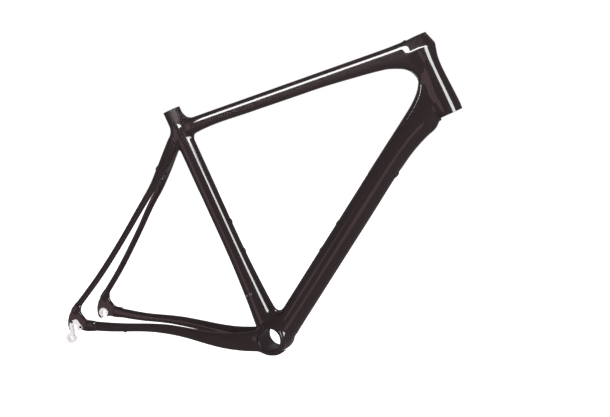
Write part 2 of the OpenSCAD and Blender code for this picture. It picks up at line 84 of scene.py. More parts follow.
def tilted(degrees):
    """Direction in the centre plane, rising by degrees from forward."""
    a = math.radians(degrees)
    return np.array([math.cos(a), 0.0, math.sin(a)])


# ---- axes and reference points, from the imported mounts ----

SEAT_DIR = mount_axis("seatpost_socket")
SEAT_FRONT = front_of(SEAT_DIR)
HEAD_DIR = -mount_axis("lower_headset")
HEAD_FRONT = front_of(HEAD_DIR)
HEAD_BASE = mount_point("lower_headset") - HEAD_DIR * MOUNTS["lower_headset"]["dims"]["length_mm"] / 2
AXLE = mount_point("rear_axle_slots")
STUB_START = 466.0
STUB_TOP = 498.0
HEAD_LENGTH = 161.0
TOP_START = 457 * SEAT_DIR
TOP_END = HEAD_BASE + 145 * HEAD_DIR
DOWN_START = np.array([0.0, 0.0, -13.0])
DOWN_END = HEAD_BASE + 57.5 * HEAD_DIR
TOP_DIR = (TOP_END - TOP_START) / np.linalg.norm(TOP_END - TOP_START)
TOP_UP = -front_of(TOP_DIR)
DOWN_DIR = (DOWN_END - DOWN_START) / np.linalg.norm(DOWN_END - DOWN_START)

# ---- sections of the mouldings ----

# Seat tube and head tube: [distance, radius]
SEAT_PROFILE = [
    [10, 29], [30, 26], [50, 24.5], [75, 22.3], [100, 20.9], [125, 19.7], [150, 18.6],
    [180, 17.8], [210, 17.5], [300, 17.5], [400, 17.5], [515, 17.5],
]
HEAD_PROFILE = [
    [-10, 23], [0, 23.4], [10, 24], [25, 23.6], [49, 22.4], [75, 21.1], [99, 20.9],
    [112, 22.2], [122, 24.6], [137, 28.6], [150, 32.5], [172, 38],
]
# Cone over the head tube's ridge: radius at the ridge, its distance, the fall per mm and its cosine
RIDGE_R, RIDGE_S, CONE_SLOPE, CONE_COSINE = 27.4, 137.0, 1 / 3, 0.95
RIDGE_EDGE = 2.5
# Top tube and down tube: [distance, above the axis, below it, half width]
TOP_SECTIONS = [
    [-6, 10, 16, 13], [4, 12, 16, 15], [16, 13, 17, 16], [26, 13, 19, 17], [38, 13, 17.4, 17],
    [60, 13, 15.5, 17], [150, 13, 15.6, 17], [240, 13, 16.3, 17], [320, 13, 17, 17.2],
    [385, 13, 20.2, 17.8], [430, 13, 23.2, 18.6], [455, 13, 26.2, 19.3], [473, 13.3, 31.8, 19.8],
    [485, 13.8, 36.4, 20.1], [495, 14.2, 44, 19.6], [502, 14.4, 53, 18.8], [507, 14.6, 68, 18.2],
    [528, 14.6, 68, 16],
]
DOWN_SECTIONS = [
    [8, 24.8, 24.8, 29], [40, 24.8, 24.8, 28.5], [70, 24.8, 24.8, 27], [110, 24.8, 24.8, 25.6],
    [200, 24.8, 24.8, 25], [330, 24.8, 24.8, 24.8], [450, 24.8, 24.8, 24.4],
    [480, 24.6, 26.2, 24], [506, 24.3, 29.5, 23.6], [533, 24.3, 34.9, 23], [551, 24.3, 40, 22.4],
    [561, 24.6, 38.6, 21.8], [571, 25.6, 36, 21], [586, 28.2, 32, 19.8], [601, 33.6, 30, 18.4],
    [609, 38.5, 29, 17.6], [630, 50, 28, 16],
]
# Stays and wishbone crown: [x, distance from the centre plane, z, half depth, half width]
CHAINSTAY_PATH = [
    [-8, 22.5, -1.5, 22.5, 9.5], [-22, 23.5, -1.4, 21.6, 9.5], [-45, 26, -0.6, 20, 9.5],
    [-70, 29, 2.2, 17.9, 9.5], [-97, 32, 7, 15.7, 9.5], [-133, 36, 17.2, 12.6, 9],
    [-174, 37.5, 30.8, 10.2, 8.5], [-211, 39, 41, 9.5, 8], [-240, 42, 47, 8.6, 7.6],
    [-268, 46, 51, 8.2, 7.2], [-300, 52.5, 55, 8.5, 7], [-330, 60, 60, 9.2, 6.4],
    [-352, 64.8, 64.4, 9.6, 5.6], [-375, 69, 69.5, 9.6, 4.4],
]
SEATSTAY_PATH = [
    [-150, 5, 412, 9, 8.5], [-163, 9, 391, 9, 8.5], [-176, 14, 368, 8.6, 8.5],
    [-190, 19, 347, 7.6, 8], [-206, 23.3, 324.5, 6.7, 7.4],
    [-235, 27.5, 289.5, 6.4, 6.8], [-269, 36.5, 245.5, 6, 6.2], [-305, 45.5, 201, 6, 6],
    [-343, 56, 157, 6, 6], [-364, 62, 135, 6, 5.6], [-386, 67.5, 112.5, 6.2, 4.8],
    [-396, 69, 101, 6.2, 4.2],
]
CROWN_PATH = [
    [-118, 0, 455, 6, 9], [-130, 0, 440, 9, 12], [-148.5, 0, 414, 13, 14.5],
    [-161.5, 0, 394, 12.7, 16], [-176.5, 0, 371, 11.5, 19], [-189, 0, 353.4, 9.4, 21.5],
    [-199, 0, 338, 7, 22], [-206, 0, 325, 4.5, 21],
]
# Rear end, forward and up from the axle, and how far it lies from the centre plane
REAR_OUTLINE = [
    [9.2, 46], [-1, 35.5], [-9, 24.5], [-13.4, 14], [-15.2, 4.5], [-14.8, -4.5], [-12.6, -10.4],
    [-9, -11.6], [-5.4, -10], [5.4, -10], [9, -8.6], [14, -9.2], [19, -11], [28, -12.8],
    [40.1, -13.2], [43.9, 6], [29.8, 8.6], [25, 13.6], [20, 21], [17, 28], [18.3, 37.4],
]
REAR_NEAR, REAR_FAR = 65.4, 74.0
PILLOW_EDGE = 3.2
# Circle that holds the outline, and how near to it the distance has to be exact
REAR_MIDDLE_X, REAR_MIDDLE_Z, REAR_REACH, REAR_MARGIN = 10, 15, 50, 12.0
# Window in the drive-side rear end where the alloy plate shows
PLATE_OUTLINE = [
    [-11, -10.2], [-11.8, -1], [-9.4, 7], [-4.8, 12], [0, 13.4], [5.6, 14.2], [8.6, 12.8],
    [13, 5], [17.6, -3], [14.4, -8.6], [8, -8], [5.2, -9.4], [-5.2, -9.4],
]
PLATE_NEAR = 69.4
# Tyre arch under the crown, along the slope of the seatstays
STAY_SLOPE = 58
ARCH_TOP = np.array([-195.0, 0.0, 346.0])
ARCH_DIR = tilted(STAY_SLOPE)
ARCH_R = 15.5
ARCH_REACH = 40
# Bottom-bracket lug, with a raised collar round each end of the bore
LUG_R, LUG_HALF, LUG_EDGE = 32.4, 31.6, 3
COLLAR_R, COLLAR_HALF, COLLAR_EDGE = 28.4, 34.0, 1

# ---- joints between the mouldings ----

# Both tubes end this far behind the head tube's axis
TUBE_END = 4.0
# Radii of the fillets where the mouldings run into one another
DOWN_HEAD_FILLET, TOP_HEAD_FILLET = 9, 14
CROWN_FILLET, SEATSTAY_FILLET, ARCH_FILLET = 12, 6, 4
LUG_FILLET, CHAINSTAY_FILLET, REAR_END_FILLET = 5, 9, 5
# The seat tube's fillet changes with the height over the top tube's axis
SEAT_FILLET_HEIGHTS, SEAT_FILLETS = [-410, -330, -25, 5], [26, 12, 16, 4]
# On the flanks of that joint it tightens: from FLANK_START outward and from FLANK_LOW upward
FLANK_FILLET, FLANK_START, FLANK_WIDTH, FLANK_LOW, FLANK_RISE = 4, 6, 9, -80, 30

# ---- bores and holes in the mouldings, which the sleeves and fittings fill ----

LOWER_SEAT_R, LOWER_SEAT_DEPTH = 22.1, 12
UPPER_CUP_R, UPPER_CUP_DEPTH = 18, 12.3
STEERER_R = 16.5
POST_SLEEVE_R = 16.4
BB_SLEEVE_R = 24.5
BRAKE_SLEEVE_R = 5
AXLE_SEAT_R = 10
SLOT_HALF, SLOT_DROP = 5, 25
INSERT_R, INSERT_DEPTH = 3.5, 7
PORT_DEPTH, BRAKE_PORT_R, STAY_PORT_R = 6, 3.6, 3.8
# Far enough for a tool to leave the part on both sides
REACH = 90

# Spacing of the samples along a curve, and half the size of the block that cutting planes shape
SAMPLE = 0.5
FAR = 900.0


# ---- distance fields ----

def smoothed(rows, blur):
    """Cubic through listed rows [distance, values...], sampled every SAMPLE mm, blurred by blur mm."""
    rows = np.array(rows, float)
    t = np.arange(rows[0, 0], rows[-1, 0] + SAMPLE / 2, SAMPLE)
    slopes = np.gradient(rows[:, 1:], rows[:, 0], axis=0)
    k = np.clip(np.searchsorted(rows[:, 0], t, side="right") - 1, 0, len(rows) - 2)
    gap = (rows[k + 1, 0] - rows[k, 0])[:, None]
    x = (t - rows[k, 0])[:, None] / gap
    values = (
        rows[k, 1:] * (1 + 2 * x) * (1 - x) ** 2
        + rows[k + 1, 1:] * x * x * (3 - 2 * x)
        + gap * (slopes[k] * x * (1 - x) ** 2 + slopes[k + 1] * x * x * (x - 1))
    )
    if blur:
        reach = int(3 * blur / SAMPLE)
        weights = np.exp(-0.5 * (np.arange(-reach, reach + 1) * SAMPLE / blur) ** 2)
        weights /= weights.sum()
        ends = np.vstack([
            2 * values[0] - values[reach:0:-1],
            values,
            2 * values[-1] - values[-2:-reach - 2:-1],
        ])
        values = np.stack([np.convolve(column, weights, "valid") for column in ends.T], axis=1)
    return t, values


def tube_field(origin, direction, rows, power, blur):
    """Distance to a tube of rounded sections.

    Rows: [distance, across, up, height above, depth below, half width].
    """
    up_dir = np.array([-direction[2], 0.0, direction[0]])
    t_table, values = smoothed(rows, blur)
    middle_y, middle_u, above, below, width = values.T

    def distance(p):
        q = p - origin
        t = q @ direction
        u = q @ up_dir - np.interp(t, t_table, middle_u)
        v = p[:, 1] - np.interp(t, t_table, middle_y)
        a = np.abs(u) / np.where(u > 0, np.interp(t, t_table, above), np.interp(t, t_table, below))
        b = np.abs(v) / np.interp(t, t_table, width)
        rho = np.sqrt(a * a + b * b) if power == 2 else (a ** power + b ** power) ** (1 / power)
        side = np.hypot(u, v) * (1 - 1 / np.maximum(rho, 1e-6))
        return np.maximum(side, np.maximum(t_table[0] - t, t - t_table[-1]))

    return distance


def straight_tube(start, direction, sections, power, blur, waist=0.0):
    """Tube that is widest at the waist's height. Sections: [distance, above the axis, below, half width]."""
    rows = [[t, 0, waist, above - waist, below + waist, half] for t, above, below, half in sections]
    return tube_field(start, direction, rows, power, blur)


def stay(path, power, blur):
    """Path: [x, distance from the centre plane, z, half depth, half width], cut square to its mean line."""
    points = np.array(path, float)
    start, end = points[0, [0, 2]], points[-1, [0, 2]]
    d = (end - start) / np.linalg.norm(end - start)
    direction = np.array([d[0], 0.0, d[1]])
    flat = points[:, [0, 2]] - start
    along, up = flat @ d, flat @ np.array([-d[1], d[0]])
    rows = np.column_stack([along, points[:, 1], up, points[:, 3], points[:, 3], points[:, 4]])
    return tube_field(np.array([start[0], 0.0, start[1]]), direction, rows, power, blur)


def blend(a, b, radius):
    """Union of two distances with a fillet."""
    h = np.maximum(radius - np.abs(a - b), 0) / radius
    return np.minimum(a, b) - h * h * radius / 4


def carve(a, b, radius):
    """What is left of a outside b, with a rounded edge."""
    return -blend(-a, b, radius)


def turned_field(base, direction, profile, blur):
    rows = [[s, 0, 0, r, r, r] for s, r in profile]
    return tube_field(base, direction, rows, 2, blur)


def rounded_slab(outline, across, edge):
    """Distance to a slab from those to its outline and to its faces, with rims rounded by edge."""
    a, b = outline + edge, across + edge
    return np.hypot(np.maximum(a, 0), np.maximum(b, 0)) + np.minimum(np.maximum(a, b), 0) - edge


def outline_field(x, z, outline):
    """Signed distance to a closed outline in the plane."""
    points = np.array(outline, float)
    nearest = np.full(len(x), 1e9)
    inside = np.zeros(len(x), bool)
    for (ax, az), (bx, bz) in zip(points, np.roll(points, -1, axis=0)):
        ex, ez = bx - ax, bz - az
        h = np.clip(((x - ax) * ex + (z - az) * ez) / (ex * ex + ez * ez), 0, 1)
        nearest = np.minimum(nearest, np.hypot(x - ax - h * ex, z - az - h * ez))
        if ez:
            crossing = (az > z) != (bz > z)
            inside ^= crossing & (x < (z - az) / ez * ex + ax)
    return np.where(inside, -nearest, nearest)


def rear_end_field(p):
    """Pillow-edged moulding round the dropout; far from it the distance is only a lower bound."""
    x, z = p[:, 0] - AXLE[0], p[:, 2] - AXLE[2]
    distance = np.maximum(np.hypot(x - REAR_MIDDLE_X, z - REAR_MIDDLE_Z) - REAR_REACH, REAR_MARGIN)
    near = distance <= REAR_MARGIN
    middle, half = (REAR_NEAR + REAR_FAR) / 2, (REAR_FAR - REAR_NEAR) / 2
    outline = outline_field(x[near], z[near], REAR_OUTLINE)
    distance[near] = rounded_slab(outline, np.abs(p[near, 1] - middle) - half, PILLOW_EDGE)
    return distance


def arch_field(p):
    q = p - ARCH_TOP
    w = q @ ARCH_DIR + ARCH_R
    across = np.where(w > 0, np.hypot(p[:, 1], w), p[:, 1]) - ARCH_R
    return np.maximum(across, np.abs(q @ front_of(ARCH_DIR)) - ARCH_REACH)


seat_tube = turned_field(np.zeros(3), SEAT_DIR, SEAT_PROFILE, 10)
head_flare = turned_field(HEAD_BASE, HEAD_DIR, HEAD_PROFILE, 5)
top_tube = straight_tube(TOP_START, TOP_DIR, TOP_SECTIONS, 3.4, 5, -1.3)
down_tube = straight_tube(DOWN_START, DOWN_DIR, DOWN_SECTIONS, 2.3, 6)
chainstay = stay(CHAINSTAY_PATH, 2.8, 9)
seatstay = stay(SEATSTAY_PATH, 2.4, 9)
crown = stay(CROWN_PATH, 2.6, 5)


def head_tube(p):
    q = p - HEAD_BASE
    s, f = q @ HEAD_DIR, q @ HEAD_FRONT
    cone = (np.hypot(f, p[:, 1]) - RIDGE_R + (s - RIDGE_S) * CONE_SLOPE) * CONE_COSINE
    return carve(head_flare(p), -cone, RIDGE_EDGE)


def lug(p):
    radial, across = np.hypot(p[:, 0], p[:, 2]), p[:, 1]
    body = rounded_slab(radial - LUG_R, across - LUG_HALF, LUG_EDGE)
    return np.minimum(body, rounded_slab(radial - COLLAR_R, across - COLLAR_HALF, COLLAR_EDGE))


def skin(p):
    """Distance to the whole carbon surface, bores and end cuts not made yet. The frame is symmetric."""
    p = np.column_stack([p[:, 0], np.abs(p[:, 1]), p[:, 2]])
    over_top_tube = (p - TOP_START) @ TOP_UP
    flank = np.clip((p[:, 1] - FLANK_START) / FLANK_WIDTH, 0, 1)
    flank = flank * np.clip((over_top_tube - FLANK_LOW) / FLANK_RISE, 0, 1)
    seat_fillet = np.interp(over_top_tube, SEAT_FILLET_HEIGHTS, SEAT_FILLETS)
    seat_fillet = seat_fillet * (1 - flank) + FLANK_FILLET * flank
    past_head = (p - HEAD_BASE) @ HEAD_FRONT + TUBE_END
    d = blend(head_tube(p), np.maximum(down_tube(p), past_head), DOWN_HEAD_FILLET)
    d = blend(d, np.maximum(top_tube(p), past_head), TOP_HEAD_FILLET)
    d = blend(d, seat_tube(p), seat_fillet)
    d = blend(d, crown(p), CROWN_FILLET)
    d = blend(d, seatstay(p), SEATSTAY_FILLET)
    d = carve(d, arch_field(p), ARCH_FILLET)
    d = blend(d, lug(p), LUG_FILLET)
    d = blend(d, chainstay(p), CHAINSTAY_FILLET)
    return blend(d, rear_end_field(p), REAR_END_FILLET)


# ---- from the distance field to a mesh ----

CELL = 2.0
BLOCK = 8
CHUNK = 300_000
# Step for gradients, and how far each pass evens the vertices out
GRADIENT_STEP = 0.6
SMOOTHING = (0.5, 0.5, 0.3, 0)
# Room for the grid round the frame's box
MARGIN = 8.0


def in_chunks(function, points):
    return np.concatenate([function(points[i:i + CHUNK]) for i in range(0, len(points), CHUNK)])


def gradient(points):
    steps = np.eye(3) * GRADIENT_STEP
    rises = [in_chunks(skin, points + s) - in_chunks(skin, points - s) for s in steps]
    return np.stack(rises, axis=1) / (2 * GRADIENT_STEP)


def field_grid(low, count):
    """Values of the skin on a grid, exact only in the blocks that the surface may pass through."""
    blocks = count // BLOCK
    index = np.indices(blocks).reshape(3, -1).T
    centres = low + (index * BLOCK + (BLOCK - 1) / 2) * CELL
    coarse = in_chunks(skin, centres)
    values = np.repeat(np.repeat(np.repeat(coarse.reshape(blocks), BLOCK, 0), BLOCK, 1), BLOCK, 2)
    near = np.abs(coarse) < BLOCK * CELL * 1.5 + 4
    inner = np.indices((BLOCK,) * 3).reshape(3, -1).T
    nodes = (index[near][:, None, :] * BLOCK + inner[None]).reshape(-1, 3)
    values[tuple(nodes.T)] = in_chunks(skin, low + nodes * CELL)
    return values


def surface_net(low, values):
    """Quads round every grid edge that crosses the surface, and one vertex in every cell that it passes."""
    inside = values < 0
    corners = [np.array(c) for c in np.ndindex(2, 2, 2)]
    cells = np.array(values.shape) - 1

    def shifted(array, c):
        return array[c[0]:c[0] + cells[0], c[1]:c[1] + cells[1], c[2]:c[2] + cells[2]]

    filled = sum(shifted(inside, c).astype(np.int8) for c in corners)
    mixed = (filled > 0) & (filled < 8)
    number = np.full(mixed.shape, -1, np.int32)
    number[mixed] = np.arange(mixed.sum())
    cell = np.argwhere(mixed)
    total, hits = np.zeros((len(cell), 3)), np.zeros(len(cell))
    for a in corners:
        for axis in range(3):
            if a[axis]:
                continue
            b = a + np.eye(3, dtype=int)[axis]
            va, vb = values[tuple((cell + a).T)], values[tuple((cell + b).T)]
            cut = (va < 0) != (vb < 0)
            share = va[cut] / (va[cut] - vb[cut])
            total[cut] += a + np.outer(share, b - a)
            hits[cut] += 1
    points = low + (cell + total / hits[:, None]) * CELL
    quads = []
    for axis in range(3):
        one, b, c = (np.eye(3, dtype=int)[(axis + k) % 3] for k in range(3))
        upper = np.array(inside.shape) - one
        first = inside[:upper[0], :upper[1], :upper[2]]
        second = inside[one[0]:, one[1]:, one[2]:]
        edge = np.argwhere(first != second)
        out = first[tuple(edge.T)]
        ring = [number[tuple((edge + offset).T)] for offset in (-b - c, -c, 0 * b, -b)]
        quad = np.stack(ring, axis=1)
        quads.append(np.where(out[:, None], quad, quad[:, ::-1]))
    return points, np.concatenate(quads)


def relaxed(points, quads):
    """Vertices evened out along the surface and pulled back onto it."""
    edges = np.concatenate([quads[:, [k, (k + 1) % 4]] for k in range(4)])
    degree = np.bincount(edges[:, 0], minlength=len(points))[:, None]
    for smooth in SMOOTHING:
        if smooth:
            around = np.stack([
                np.bincount(edges[:, 0], points[edges[:, 1], axis], len(points)) for axis in range(3)
            ], axis=1)
            points = points + smooth * (around / degree - points)
        g = gradient(points)
        step = in_chunks(skin, points) / np.maximum((g * g).sum(1), 0.25)
        points = points - g * np.clip(step, -CELL, CELL)[:, None]
    return points


def mesh_object(name, points, faces):
    mesh = bpy.data.meshes.new(name)
    mesh.from_pydata(np.asarray(points) * MM, [], np.asarray(faces).tolist() if len(faces) else [])
    mesh.update()
    piece = bpy.data.objects.new(name, mesh)
    bpy.context.scene.collection.objects.link(piece)
    return piece


def whole_skin():
    low = np.array(cad_box[0]) / MM - MARGIN
    high = np.array(cad_box[1]) / MM + MARGIN
    high[1] = max(high[1], -low[1])
    low[1] = -high[1]
    count = (np.ceil((high - low) / CELL / BLOCK).astype(int) + 1) * BLOCK
    points, quads = surface_net(low, field_grid(low, count))
    return mesh_object("whole_skin", relaxed(points, quads), quads)


# ---- cutting the skin into its mouldings ----

def tool_object(bm):
    mesh = bpy.data.meshes.new("tool")
    bmesh.ops.recalc_face_normals(bm, faces=bm.faces)
    bm.to_mesh(mesh)
    bm.free()
    tool = bpy.data.objects.new("tool", mesh)
    bpy.context.scene.collection.objects.link(tool)
    return tool


def cell_solid(planes):
    """Convex solid on the positive side of every plane (point, normal)."""
    bm = bmesh.new()
    bmesh.ops.create_cube(bm, size=2 * FAR * MM)
    for point, normal in planes:
        geometry = bm.verts[:] + bm.edges[:] + bm.faces[:]
        cut = bmesh.ops.bisect_plane(
            bm, geom=geometry, plane_co=Vector(point) * MM, plane_no=Vector(normal), clear_inner=True
        )
        rim = [e for e in cut["geom_cut"] if isinstance(e, bmesh.types.BMEdge)]
        if rim:
            bmesh.ops.contextual_create(bm, geom=rim)
    return tool_object(bm)


def turned_solid(base, direction, profile, sides=96):
    """Closed solid of revolution. Profile: [distance, radius]."""
    axis = Vector(direction)
    across = axis.orthogonal().normalized()
    third = axis.cross(across)
    bm = bmesh.new()
    rings = []
    for s, r in profile:
        rings.append([
            bm.verts.new((Vector(base) + axis * s + r * (across * math.cos(a) + third * math.sin(a))) * MM)
            for a in (2 * math.pi * k / sides for k in range(sides))
        ])
    for one, two in zip(rings, rings[1:]):
        for k in range(sides):
            bm.faces.new((one[k], one[(k + 1) % sides], two[(k + 1) % sides], two[k]))
    bm.faces.new(rings[0])
    bm.faces.new(rings[-1])
    return tool_object(bm)


def prism(outline, near, far):
    """Closed solid of an outline (forward, up from the axle), from y near to y far."""
    bm = bmesh.new()
    rings = [
        [bm.verts.new(((AXLE[0] + x) * MM, y * MM, (AXLE[2] + z) * MM)) for x, z in outline]
        for y in (near, far)
    ]
    n = len(outline)
    for k in range(n):
        bm.faces.new((rings[0][k], rings[0][(k + 1) % n], rings[1][(k + 1) % n], rings[1][k]))
    for ring in rings:
        bm.faces.new(ring)
    return tool_object(bm)


def apply_boolean(piece, tool, operation):
    modifier = piece.modifiers.new("cut", "BOOLEAN")
    modifier.operation = operation
    modifier.solver = "MANIFOLD"
    modifier.object = tool
    evaluated = piece.evaluated_get(bpy.context.evaluated_depsgraph_get())
    mesh = bpy.data.meshes.new_from_object(evaluated)
    piece.modifiers.clear()
    piece.data = mesh
    bpy.data.objects.remove(tool)


# ---- the carbon mouldings ----

UP = np.array([0.0, 0.0, 1.0])
LEFT = np.array([0.0, 1.0, 0.0])
AHEAD = np.array([1.0, 0.0, 0.0])


# The cuts between mouldings: a point and the side that counts as beyond it
LUG_CORNER = 27 * SEAT_FRONT + 36 * SEAT_DIR
BACK_CORNER = -27 * SEAT_FRONT + 36 * SEAT_DIR
CUTS = {
    "above_lug": (LUG_CORNER, SEAT_DIR),
    "past_lug": (LUG_CORNER, DOWN_DIR),
    "before_seat": (LUG_CORNER, SEAT_FRONT),
    "behind_seat": (BACK_CORNER, -SEAT_FRONT),
    "behind_lug": (BACK_CORNER, -AHEAD),
    "behind_head": (HEAD_BASE - 24.5 * HEAD_FRONT, -HEAD_FRONT),
    "above_junction": (HEAD_BASE + 83 * HEAD_DIR, HEAD_DIR),
    "above_head_base": (HEAD_BASE, HEAD_DIR),
    "above_head_top": (HEAD_BASE + HEAD_LENGTH * HEAD_DIR, HEAD_DIR),
    "above_stub": (STUB_TOP * SEAT_DIR, SEAT_DIR),
    "above_stays": (np.array([-358.0, 0.0, 100.0]), UP),
    "at_chainstay_end": (AXLE + np.array([42, 0, -3.6]), -tilted(-11.2)),
    "below_seatstay_end": (AXLE + np.array([13.8, 0, 41.7]), -tilted(46.6)),
    "above_legs": (np.array([-206.0, 0.0, 324.5]), tilted(STAY_SLOPE)),
    "left": (np.zeros(3), LEFT),
}


def planes(*words):
    """Cutting planes by name; a leading minus keeps the near side."""
    chosen = []
    for word in words:
        point, normal = CUTS[word.lstrip("-")]
        chosen.append((point, -normal if word[0] == "-" else normal))
    return chosen


BRAKE_POINT, BRAKE_DIR = mount_point("brake_bolt"), mount_axis("brake_bolt")
BOTTLE_HOLES = {
    tube: [(mount_point(f"{tube}_bottle_{k}"), mount_axis(f"{tube}_bottle_{k}")) for k in ("lower", "upper")]
    for tube in ("down_tube", "seat_tube")
}


def hole(point, direction, radius, depth, out=20.0):
    """Tool that drills into the skin at a point, against a direction."""
    return lambda: turned_solid(point, direction, [[-depth, radius], [out, radius]])


def head_bores():
    return turned_solid(HEAD_BASE, HEAD_DIR, [
        [-30, LOWER_SEAT_R], [LOWER_SEAT_DEPTH, LOWER_SEAT_R],
        [LOWER_SEAT_DEPTH, STEERER_R], [HEAD_LENGTH - UPPER_CUP_DEPTH, STEERER_R],
        [HEAD_LENGTH - UPPER_CUP_DEPTH, UPPER_CUP_R], [HEAD_LENGTH + 20, UPPER_CUP_R],
    ])


def axle_bore(side):
    """Round seat of the dropout, in either rear end."""
    profile = [[REAR_NEAR - 3, AXLE_SEAT_R], [REAR_FAR + 3, AXLE_SEAT_R]]
    return lambda: turned_solid(AXLE * [1, 0, 1], side * LEFT, profile)


def axle_slot():
    outline = [[-SLOT_HALF, -SLOT_DROP], [SLOT_HALF, -SLOT_DROP], [SLOT_HALF, 0], [-SLOT_HALF, 0]]
    return prism(outline, -REACH, REACH)


def plate_window():
    return prism(PLATE_OUTLINE, -REACH, -PLATE_NEAR)


def side_holes(node, radius, depth):
    """Tools for a node's round plugs that sit in a tube's left flank."""
    low, high = (np.array(c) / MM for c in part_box(node))
    ends = [np.array([x, high[1], z]) for x, z in ((low[0] + 5, low[2] + 5), (high[0] - 5, high[2] - 5))]
    return [hole(p, LEFT, radius, depth) for p in ends]


STAY_PORT, STAY_PORT_DIR = np.array([-300.0, -52.5, 47.5]), np.array([-0.6, 0, -0.8])
STAY_LINE = np.array([-0.636, 0.0, -0.772])

# Every moulding: its cuts, the tools that open it, and how its plies wrap (axis point, axis, radius)
MOULDINGS = {
    "head_tube": (
        ["-behind_head", "above_head_base", "-above_head_top"],
        [head_bores],
        (HEAD_BASE, HEAD_DIR, 22),
    ),
    "top_tube": (
        ["behind_head", "above_junction", "before_seat"],
        side_holes("brake_cable_ports", BRAKE_PORT_R, PORT_DEPTH),
        (TOP_START, TOP_DIR, 15),
    ),
    "down_tube": (
        ["behind_head", "-above_junction", "before_seat", "past_lug"],
        [hole(p, d, INSERT_R, INSERT_DEPTH) for p, d in BOTTLE_HOLES["down_tube"]],
        (DOWN_START, DOWN_DIR, 25),
    ),
    "seat_tube": (
        ["above_lug", "-before_seat", "-behind_seat", "-above_stub"],
        [lambda: turned_solid(np.zeros(3), SEAT_DIR, [[20, POST_SLEEVE_R], [STUB_TOP + 9, POST_SLEEVE_R]])]
        + [hole(p, d, INSERT_R, INSERT_DEPTH) for p, d in BOTTLE_HOLES["seat_tube"]],
        (np.zeros(3), SEAT_DIR, 18),
    ),
    "bb_shell": (
        ["-above_lug", "-past_lug", "-behind_lug"],
        [lambda: turned_solid(np.zeros(3), LEFT, [[-50, BB_SLEEVE_R], [50, BB_SLEEVE_R]])],
        (np.zeros(3), LEFT, 33),
    ),
    "chainstay_left": (
        ["behind_lug", "behind_seat", "-above_stays", "-at_chainstay_end", "left"],
        [],
        (np.array([0, 44.0, 30]), -AHEAD, 10),
    ),
    "chainstay_right": (
        ["behind_lug", "behind_seat", "-above_stays", "-at_chainstay_end", "-left"],
        [hole(STAY_PORT, STAY_PORT_DIR, STAY_PORT_R, PORT_DEPTH)],
        (np.array([0, -44.0, 30]), -AHEAD, 10),
    ),
    "wishbone_crown": (
        ["behind_seat", "above_stays", "above_legs"],
        [lambda: turned_solid(BRAKE_POINT, BRAKE_DIR, [[-40, BRAKE_SLEEVE_R], [40, BRAKE_SLEEVE_R]])],
        (np.array([-163.0, 0, 395]), STAY_LINE, 16),
    ),
    "seatstay_left": (
        ["behind_seat", "above_stays", "-above_legs", "-below_seatstay_end", "left"],
        [],
        (np.array([-305.0, 45.5, 201]), STAY_LINE, 6),
    ),
    "seatstay_right": (
        ["behind_seat", "above_stays", "-above_legs", "-below_seatstay_end", "-left"],
        [],
        (np.array([-305.0, -45.5, 201]), STAY_LINE, 6),
    ),
    "rear_end_left": (
        ["at_chainstay_end", "below_seatstay_end", "left"],
        [axle_bore(1), axle_slot],
        None,
    ),
    "rear_end_right": (
        ["at_chainstay_end", "below_seatstay_end", "-left"],
        [axle_bore(-1), axle_slot, plate_window],
        None,
    ),
}


def lay_plies(mesh, wrap):
    """UVs in millimetres: along the tube, and round it from its underside seam."""
    count = len(mesh.loops)
    of_loop = np.empty(count, np.int32)
    mesh.loops.foreach_get("vertex_index", of_loop)
    points = np.array([v.co for v in mesh.vertices], float)[of_loop] / MM
    if wrap is None:
        uv = points[:, [0, 2]]
    else:
        origin, direction, radius = wrap
        side = np.cross(direction, [0.0, 0.0, 1.0]) if abs(direction[1]) > 0.5 else LEFT
        side = side / np.linalg.norm(side)
        up = np.cross(side, direction)
        q = points - origin
        angle = np.arctan2(q @ side, q @ up)
        starts = np.empty(len(mesh.polygons), np.int32)
        mesh.polygons.foreach_get("loop_start", starts)
        sizes = np.diff(np.append(starts, count))
        first = np.repeat(angle[starts], sizes)
        angle = first + (angle - first + np.pi) % (2 * np.pi) - np.pi
        uv = np.column_stack([q @ direction, angle * radius])
    mesh.uv_layers.new(name="plies").data.foreach_set("uv", uv.astype(np.float32).ravel())


def shade_as_skin(mesh):
    """Smooth normals from the distance field on the skin, plain ones on cut faces."""
    count = len(mesh.loops)
    of_loop = np.empty(count, np.int32)
    mesh.loops.foreach_get("vertex_index", of_loop)
    points = np.array([v.co for v in mesh.vertices], float) / MM
    flat = np.array([p.normal for p in mesh.polygons], float)
    sizes = np.array([p.loop_total for p in mesh.polygons])
    smooth = gradient(points)
    smooth /= np.maximum(np.linalg.norm(smooth, axis=1), 1e-9)[:, None]
    face_normal = np.repeat(flat, sizes, axis=0)
    loop_smooth = smooth[of_loop]
    on_skin = np.abs(in_chunks(skin, points)) < 0.05
    agree = (loop_smooth * face_normal).sum(1) > 0.7
    starts = np.concatenate([[0], np.cumsum(sizes)[:-1]])
    whole = np.minimum.reduceat((agree & on_skin[of_loop]).astype(np.int8), starts) > 0
    use = np.repeat(whole, sizes)
    normals = np.where(use[:, None], loop_smooth, face_normal)
    mesh.polygons.foreach_set("use_smooth", np.ones(len(mesh.polygons), bool))
    mesh.normals_split_custom_set(normals.tolist())


def make_moulding(node, source, cuts, tools, wrap, material):
    piece = bpy.data.objects.new(f"{node}_moulding", source.data.copy())
    bpy.context.scene.collection.objects.link(piece)
    apply_boolean(piece, cell_solid(planes(*cuts)), "INTERSECT")
    for make_tool in tools:
        apply_boolean(piece, make_tool(), "DIFFERENCE")
    lay_plies(piece.data, wrap)
    shade_as_skin(piece.data)
    piece.data.materials.clear()
    piece.data.materials.append(material)
    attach(piece, "root")
    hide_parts(node)
    return piece


